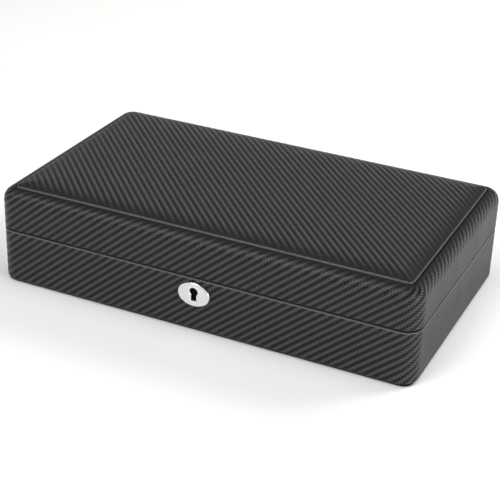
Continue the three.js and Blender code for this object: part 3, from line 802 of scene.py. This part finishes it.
def make_inner_pad():
    """The padded velvet panel inside the lid, which faces down."""
    low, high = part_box("lid_inner_pad")
    lip = -low.z - LINER_LIP

    def height(x, y, inside):
        rise = LINER_SOFT * (1 - np.exp(-inside / LINER_SOFT_RUN))
        pile = strays(np.stack([x, y, 0 * x], -1), 90, 0.12 * MM)
        return rise - lip_drop(inside, LINER_LIP) + pile

    levels = (lip - 1.5 * LINER_LIP, -high.z)
    half_width, half_depth = (high.x - low.x) / 2, (high.y - low.y) / 2
    shape = pad_shape(half_width, half_depth, LINER_CORNER, LINER_STEP, lip, height, levels)
    points, faces, _ = shape
    points[:, 2] *= -1
    piece = new_mesh("lid_lining_pad", points, faces)
    face_out(piece)
    finished(piece, "velvet", "lid", ["lid_inner_pad"])


def make_linings():
    """Velvet on card round the tray and inside the lid, and on the tray's floor."""
    for body in ("base", "lid"):
        for side in ("front", "back", "left", "right"):
            node = f"{body}_lining_{side}"
            low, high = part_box(node)
            finished(strip(f"velvet_{node}", low, high, LINING_EDGE), "velvet", body, [node])
    low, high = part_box("base_floor_lining")
    floor = strip("velvet_floor", low, high, FLOOR_EDGE, step=3 * MM)
    finished(floor, "velvet", "base", ["base_floor_lining"])


def make_dividers():
    """Half-lapped dividers: the long one is notched from above and the cross ones from below."""
    long_low, long_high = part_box("divider_long")
    middle = (long_low.z + long_high.z) / 2
    notches = []
    for k in range(1, 6):
        node = f"divider_cross_{k}"
        low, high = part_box(node)
        notches.append(boxed((low.x - FIT, long_low.y - MM, middle - FIT / 2),
                             (high.x + FIT, long_high.y + MM, high.z + MM)))
        cross = strip(f"velvet_{node}", low, high, DIVIDER_EDGE)
        combine(cross, [boxed((low.x - MM, long_low.y - FIT, low.z - MM),
                              (high.x + MM, long_high.y + FIT, middle + FIT / 2))])
        finished(cross, "velvet", "base", [node])
    long = strip("velvet_divider_long", long_low, long_high, DIVIDER_EDGE)
    combine(long, notches)
    finished(long, "velvet", "base", ["divider_long"])


def make_felt():
    low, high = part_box("underside_felt")
    r, edge = FELT_CORNER, FELT_EDGE
    rows = [(edge, low.z, r - edge), (0, low.z + edge, r), (0, high.z - edge, r), (edge, high.z, r - edge)]
    half_width, half_depth = (high.x - low.x) / 2 + FELT_SPREAD, (high.y - low.y) / 2 + FELT_SPREAD
    piece = new_mesh("felt_base", *capped(rings(rows, half_width, half_depth, (40, 24, 12))))
    face_out(piece)
    finished(piece, "felt", "base", ["underside_felt"])


def blow_up(piece, pressure, cap):
    """Cloth simulation of a stuffed cover: it swells under pressure, and no point moves further than cap."""
    before = get_points(piece.data)
    cloth = piece.modifiers.new("cloth", "CLOTH")
    cloth.settings.quality = 5
    cloth.settings.mass = 0.25
    cloth.settings.tension_stiffness = 25
    cloth.settings.compression_stiffness = 25
    cloth.settings.bending_stiffness = 0.4
    cloth.settings.use_pressure = True
    cloth.settings.uniform_pressure_force = pressure
    cloth.settings.effector_weights.gravity = 0
    scene = bpy.context.scene
    for k in range(1, 21):
        scene.frame_set(k)
    shown = piece.evaluated_get(bpy.context.evaluated_depsgraph_get())
    move = get_points(shown.data) - before
    piece.modifiers.clear()
    scene.frame_set(1)
    reach = np.linalg.norm(move, axis=1, keepdims=True)
    move *= np.minimum(1, cap / np.maximum(reach, 1e-9))
    set_points(piece.data, before + move)


def keep_modifier(piece, kind, **settings):
    """Adds a modifier with its settings, and applies it."""
    modifier = piece.modifiers.new(kind.lower(), kind)
    for name, value in settings.items():
        setattr(modifier, name, value)
    keep_result(piece)


def cushion_shape():
    """A stuffed velvet cushion about the middle of its cell: a band with a side panel sewn in at each end."""
    low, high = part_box("cushion_1")
    half = np.array(high - low) / 2
    start = half * CUSHION_START
    piece = rounded_block("cushion", -start, start, CUSHION_EDGE, segments=6)
    keep_modifier(piece, "REMESH", mode="VOXEL", voxel_size=VOXEL)
    blow_up(piece, CUSHION_PRESSURE, CUSHION_CAP)
    keep_modifier(piece, "SUBSURF", levels=2, render_levels=2)
    mesh = piece.data
    points = get_points(mesh)
    points -= (points.max(0) + points.min(0)) / 2
    points *= (half + (0, 0, CUSHION_PRESSED / 2)) / points.max(0)
    points[:, 2] -= CUSHION_PRESSED / 2

    # The seams draw the cover in, with small puckers across them
    seam = half[0] - CUSHION_SEAM
    from_seam = np.abs(points[:, 0]) - seam
    around = np.arctan2(points[:, 2] * half[1] / half[2], points[:, 1])
    pull = SEAM_PULL * np.exp(-(from_seam / SEAM_PULL_REACH) ** 2)
    pull += PUCKER_DEEP * np.sin(around * PUCKERS) * np.exp(-(np.abs(from_seam) / PUCKER_REACH))
    out = points * (0, 1, 1)
    out /= np.maximum(np.linalg.norm(out, axis=1, keepdims=True), 1e-6)
    points -= pull[:, None] * out
    points += strays(points, 70, 0.35 * MM)[:, None] * out
    points[:, 2] = np.maximum(points[:, 2], -half[2])
    faces = [tuple(p.vertices) for p in mesh.polygons]
    tree = BVHTree.FromPolygons([Vector(p) for p in points], faces)
    bpy.data.meshes.remove(mesh)

    points, faces = list(points), list(faces)
    for place in (-seam, seam):
        route = []
        for a in np.linspace(0, 2 * np.pi, WELT_POINTS, endpoint=False):
            away = Vector((0, math.cos(a), math.sin(a)))
            hit = tree.ray_cast(Vector((place, 0, 0)) + away * 0.1, -away)[0]
            route.append(hit + away * 0.1 * MM)
        cord_points, cord_faces = welt(route, WELT)
        faces += [tuple(len(points) + k for k in f) for f in cord_faces]
        points += list(cord_points)
    return np.array(points), faces


def welt(route, radius, sides=8):
    """A closed cord along a ring of points in a plane square to X."""
    route = np.array(route)
    ahead = np.roll(route, -1, 0) - np.roll(route, 1, 0)
    ahead /= np.linalg.norm(ahead, axis=1, keepdims=True)
    side = np.array([1.0, 0, 0])
    out = np.cross(ahead, side)
    a = (2 * np.pi * np.arange(sides) / sides)[None, :, None]
    loops = route[:, None] + radius * (np.cos(a) * out[:, None] + np.sin(a) * side)
    return loops.reshape(-1, 3), [tuple(f) for f in grid_faces(len(route), sides, True, True)]


def make_cushions():
    """The same cushion in every cell, turned end for end in every other one."""
    points, faces = cushion_shape()
    for k in range(1, 13):
        low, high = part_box(f"cushion_{k}")
        turn = -1 if k % 2 else 1
        middle = np.array(low + high) / 2
        piece = new_mesh(f"watch_cushion_{k}", points * (turn, turn, 1) + middle, faces)
        face_out(piece)
        finished(piece, "cushion_velvet", "base", [f"cushion_{k}"])


# ---- fittings

def keyhole_outline(grow):
    """A keyhole's outline in (x, z) about the middle of its height, counterclockwise from the front."""
    head = KEY_HIGH / 2 - KEY_HEAD
    radius, half, foot = KEY_HEAD + grow, KEY_SLOT + grow, KEY_FOOT + grow
    start = -math.acos(half / radius)
    outline = [(-foot, -KEY_HIGH / 2 - grow), (foot, -KEY_HIGH / 2 - grow)]
    for a in np.linspace(start, math.pi - start, 33):
        outline.append((radius * math.cos(a), head + radius * math.sin(a)))
    return outline


def keyhole_shape(grow_front, grow_back, front, back, z):
    """A keyhole as a cutter from front to back, which tapers if the two growths differ."""
    points = [(x, front, z + up) for x, up in keyhole_outline(grow_front)]
    points += [(x, back, z + up) for x, up in keyhole_outline(grow_back)]
    n = len(points) // 2
    faces = [tuple(range(n)), tuple(range(n, 2 * n))[::-1]]
    faces += [(k, n + k, n + (k + 1) % n, (k + 1) % n) for k in range(n)]
    return points, faces


def make_escutcheon():
    """An oval plate with a rounded rim round a slightly domed face, and a chamfered keyhole."""
    low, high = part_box("escutcheon")
    half_width, half_height = (high.x - low.x) / 2, (high.z - low.z) / 2
    middle, back, thick = (low.z + high.z) / 2, high.y, high.y - low.y
    # Rows of (inset, height above the back): the back's edge, the roll, then down to the face
    rows = [(0.25 * MM, 0), (0, 0.25 * MM), (0, thick - PLATE_RIM)]
    for a in np.radians([22, 45, 67, 90]):
        rows.append((PLATE_RIM * (1 - math.cos(a)), thick - PLATE_RIM * (1 - math.sin(a))))
    rows += [
        (1.35 * MM, thick - 0.02 * MM),
        (1.75 * MM, thick - 0.7 * PLATE_HOLLOW),
        (2.1 * MM, thick - PLATE_HOLLOW),
    ]
    ovals = [(half_width - inset, half_height - inset, stand) for inset, stand in rows]
    face = ovals[-1]
    for share in (0.85, 0.65, 0.4, 0.15):
        ovals.append((face[0] * share, face[1] * share, face[2] + PLATE_HOLLOW * (1 - share ** 2)))
    a = 2 * np.pi * np.arange(96) / 96
    loops = []
    for across, up, stand in ovals:
        loops.append(np.stack([across * np.cos(a), back - stand + 0 * a, middle + up * np.sin(a)], -1))
    piece = new_mesh("keyhole_plate", *capped(np.array(loops)))
    face_out(piece)
    front = low.y
    combine(piece, [
        keyhole_shape(0, 0, front - MM, back + MM, middle),
        keyhole_shape(2 * KEY_CHAMFER, 0, front - KEY_CHAMFER, front + KEY_CHAMFER + PLATE_HOLLOW, middle),
    ])
    crisp(piece, 50)
    finished(piece, "satin_nickel", "base", ["escutcheon"])


def countersink(place, up):
    """A cutter for a screw's countersunk hole, with its wide end up or down."""
    shank, head = SCREW_SHANK + SCREW_CLEAR, SCREW_HEAD + SCREW_CLEAR
    outline = [(0, -4 * MM), (shank, -4 * MM), (shank, -SCREW_SINK), (head, 0), (head, MM), (0, MM)]
    turn = None if up else np.diag([1, -1, -1])
    return placed(turned(outline), place, turn)


def make_screw(name, place, up, body, angle, replaced=()):
    """A slotted countersunk screw, with its head's top at place."""
    edge = SCREW_EDGE
    outline = [
        (0, -SCREW_LONG),
        (0.25 * MM, 0.2 * MM - SCREW_LONG),
        (SCREW_SHANK, SCREW_TAPER - SCREW_LONG),
        (SCREW_SHANK, -SCREW_SINK),
        (SCREW_HEAD, -edge),
        (SCREW_HEAD - edge / 2, -edge / 3),
        (SCREW_HEAD - 1.5 * edge, 0),
        (0, 0),
    ]
    piece = new_mesh(name, *turned(outline, 32))
    half, reach = SCREW_SLOT / 2, 3 * MM
    slot = boxed((-reach, -half, -SCREW_SLOT_DEEP), (reach, half, MM))
    swing = np.array(Matrix.Rotation(math.radians(angle), 3, "Z"))
    combine(piece, [placed(slot, (0, 0, 0), swing)])
    crisp(piece)
    flip = Matrix.Identity(4) if up else Matrix.Rotation(math.pi, 4, "X")
    piece.data.transform(Matrix.Translation(place) @ flip)
    finished(piece, "satin_nickel", body, replaced)


def make_lock_plates():
    """The lock's top plate in the base's rim, and the strike plate with its two loops in the lid's."""
    low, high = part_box("lock_top_plate")
    y = (low.y + high.y) / 2
    plate = rounded_block("lock_plate", low, high, PLATE_EDGE)
    half_x, half_y = LOOP_THICK / 2 + LOOP_CLEAR, LOOP_DEEP / 2 + LOOP_CLEAR
    cuts = []
    for x in LOOPS:
        cuts.append(boxed((x - half_x, y - half_y, low.z - MM), (x + half_x, y + half_y, high.z + MM)))
    cuts += [countersink((x, y, high.z), True) for x in (-LOCK_SCREWS, LOCK_SCREWS)]
    combine(plate, cuts)
    crisp(plate)
    finished(plate, "satin_nickel", "base", ["lock_top_plate"])
    for side, x, angle in (("left", -LOCK_SCREWS, 20), ("right", LOCK_SCREWS, 75)):
        place = Vector((x, y, high.z))
        make_screw(f"plate_screw_{side}", place, True, "base", angle, [f"lock_screw_{side}"])

    low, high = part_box("strike_plate")
    rim = high.z - SHEET
    strike = rounded_block("striker", (low.x, low.y, rim), high, PLATE_EDGE)
    half_x, half_y, half_eye = LOOP_THICK / 2, LOOP_DEEP / 2, EYE_DEEP / 2
    eye_top = rim - EYE_TOP
    loops, cuts = [], []
    for x in LOOPS:
        loops.append(boxed((x - half_x, y - half_y, low.z), (x + half_x, y + half_y, rim + SHEET / 2)))
        cuts.append(boxed((x - MM, y - half_eye, eye_top - EYE_HIGH), (x + MM, y + half_eye, eye_top)))
    cuts += [countersink((x, y, rim), False) for x in (-LOCK_SCREWS, LOCK_SCREWS)]
    combine(strike, loops, "UNION")
    combine(strike, cuts)
    crisp(strike)
    finished(strike, "satin_nickel", "lid", ["strike_plate"])
    for side, x, angle in (("left", -LOCK_SCREWS, 110), ("right", LOCK_SCREWS, 50)):
        place = Vector((x, y, rim))
        make_screw(f"striker_screw_{side}", place, False, "lid", angle, [f"strike_screw_{side}"])


def make_hinge(side):
    """Both leaves of a hinge, each a plate with its knuckles, held by three screws."""
    along_x = np.array(Matrix.Rotation(math.pi / 2, 3, "Y"))
    for body, first in (("base", 0), ("lid", 1)):
        node = f"hinge_{side}_{body}_leaf"
        low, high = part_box(node)
        length, middle = high.x - low.x, (low.x + high.x) / 2
        axis_y, axis_z = high.y - BARREL, (low.z + high.z) / 2
        up = body == "base"
        flat = axis_z - RIM_GAP / 2 if up else axis_z + RIM_GAP / 2
        bottom, top = (flat - LEAF, flat) if up else (flat, flat + LEAF)
        name, edge_y = f"hinge_{side}_{body}", low.y + LEAF_DEEP
        leaf = rounded_block(name, (low.x, low.y, bottom), (high.x, edge_y, top), LEAF_EDGE)
        pitch = length / KNUCKLES
        half = (pitch - KNUCKLE_GAP) / 2
        neck, shoulder = BARREL - KNUCKLE_EDGE, half - KNUCKLE_EDGE
        outline = [(0, -half), (neck, -half), (BARREL, -shoulder)]
        outline += [(r, -z) for r, z in reversed(outline)]
        knuckle = turned(outline)
        joined = []
        for k in range(first, KNUCKLES, 2):
            x = low.x + (k + 0.5) * pitch
            joined.append(boxed((x - half, edge_y - MM, bottom), (x + half, axis_y, top)))
            joined.append(placed(knuckle, (x, axis_y, axis_z), along_x))
        combine(leaf, joined, "UNION")
        bore = turned([(0, -length), (BORE, -length), (BORE, length), (0, length)])
        screws = [Vector((middle + x, low.y + LEAF_DEEP / 2, flat)) for x in HINGE_SCREWS]
        cuts = [placed(bore, (middle, axis_y, axis_z), along_x)]
        cuts += [countersink(place, up) for place in screws]
        combine(leaf, cuts)
        crisp(leaf)
        finished(leaf, "satin_nickel", body, [node])
        for k, place in enumerate(screws):
            make_screw(f"{name}_screw_{k + 1}", place, up, body, 35 + 50 * k)


make_base_cover()
make_lid_cover()
make_top_pad()
make_inner_pad()
make_linings()
make_dividers()
make_felt()
make_cushions()
make_escutcheon()
make_lock_plates()
make_hinge("left")
make_hinge("right")

# The CAD nodes that stay visible take their slots' materials
for name, node in frame["nodes"].items():
    slot_name = next(s["material_slot"] for s in frame["record"]["subparts"] if s["node"] == name)
    node.data.materials.clear()
    node.data.materials.append(SLOTS[slot_name])


# ---- stage, lights and camera

FLOOR_REACH = 6.0
FLOOR_GLOW, FLOOR_GLOW_RUN = 0.85, (1.0, 2.6)  # it grows from 1.0 m to 2.6 m out, where the lights fall off
CAMERA_AZIMUTH, CAMERA_ELEVATION, CAMERA_ROLL = 24.489, 27.387, 2.072  # degrees
CAMERA_DISTANCE = 1.0317
CAMERA_TARGET = Vector((-0.00197, 0.0002, 0.0215))
CAMERA_LENS = 96.76
SKY = [(0.135, 1.0), (0.19, 0.20), (0.42, 0.09), (0.8, 0.04)]  # sine of the elevation, grey
LIGHTS_AIM = Vector((0, 0, 0.04))
LIGHTS = [  # name, place, size, energy, colour, whether it shows in reflections
    ("key_softbox", (-0.75, -1.35, 1.75), (1.3, 0.9), 33, (1.0, 0.985, 0.965), True),
    ("corner_strip", (1.6, -0.72, 0.35), (0.3, 0.5), 16, (1.0, 1.0, 1.0), True),
    ("top_softbox", (0.1, -0.1, 2.3), (1.6, 1.2), 24, (1.0, 1.0, 1.0), False),
    ("back_softbox", (1.1, 1.5, 1.3), (1.4, 1.0), 46, (1.0, 0.985, 0.97), False),
]


def make_stage():
    h = FLOOR_REACH
    corners = [(-h, -h, 0), (h, -h, 0), (h, h, 0), (-h, h, 0)]
    floor = new_mesh("floor", corners, [(0, 1, 2, 3)], smooth=False)
    n = Nodes("pale_floor")
    place = n.place()
    tone = n.mix(n.noise(place, 9.0), (0.80, 0.80, 0.80, 1), (0.83, 0.83, 0.83, 1))
    glow = n.remap(n.distance(place, (0, 0, 0)), *FLOOR_GLOW_RUN, 0.0, FLOOR_GLOW)
    n.shader.inputs["Emission Color"].default_value = (1, 1, 1, 1)
    pale = n.set(Base_Color=tone, Roughness=0.75, Specular_IOR_Level=0.2, Emission_Strength=glow)
    floor.data.materials.append(pale)


def make_world():
    """An even studio, white near the horizon and darker overhead."""
    world = bpy.data.worlds.new("studio")
    bpy.context.scene.world = world
    world.use_nodes = True
    tree = world.node_tree
    coordinates = tree.nodes.new("ShaderNodeTexCoord")
    split = tree.nodes.new("ShaderNodeSeparateXYZ")
    tree.links.new(coordinates.outputs["Generated"], split.inputs[0])
    ramp = tree.nodes.new("ShaderNodeValToRGB")
    tree.links.new(split.outputs["Z"], ramp.inputs["Fac"])
    stops = ramp.color_ramp.elements
    stops[0].color = (1, 1, 1, 1)
    stops[1].position, stops[1].color = SKY[-1][0], (*[SKY[-1][1]] * 3, 1)
    for height, grey in SKY[:-1]:
        stops.new(height).color = (grey, grey, grey, 1)
    tree.links.new(ramp.outputs["Color"], tree.nodes["Background"].inputs["Color"])


def make_lights():
    for name, place, (width, height), energy, colour, reflected in LIGHTS:
        light = bpy.data.lights.new(name, "AREA")
        light.shape = "RECTANGLE"
        light.size, light.size_y = width, height
        light.energy = energy
        light.color = colour
        lamp = bpy.data.objects.new(name, light)
        lamp.location = place
        lamp.visible_glossy = reflected
        lamp.rotation_euler = (LIGHTS_AIM - Vector(place)).to_track_quat("-Z", "Y").to_euler()
        bpy.context.scene.collection.objects.link(lamp)


def make_camera():
    data = bpy.data.cameras.new("camera")
    data.lens = CAMERA_LENS
    data.sensor_width = 36
    data.clip_start, data.clip_end = 0.05, 50
    camera = bpy.data.objects.new("camera", data)
    a, e, r = map(math.radians, (CAMERA_AZIMUTH, CAMERA_ELEVATION, CAMERA_ROLL))
    back = Vector((math.sin(a) * math.cos(e), -math.cos(a) * math.cos(e), math.sin(e)))
    level = Vector((math.cos(a), math.sin(a), 0))
    over = back.cross(level)
    right = level * math.cos(r) + over * math.sin(r)
    up = over * math.cos(r) - level * math.sin(r)
    turn = Matrix((right, up, back)).transposed().to_4x4()
    camera.matrix_world = Matrix.Translation(CAMERA_TARGET + back * CAMERA_DISTANCE) @ turn
    bpy.context.scene.collection.objects.link(camera)
    bpy.context.scene.camera = camera


make_stage()
make_world()
make_lights()
make_camera()
bpy.context.scene.view_settings.view_transform = "Standard"
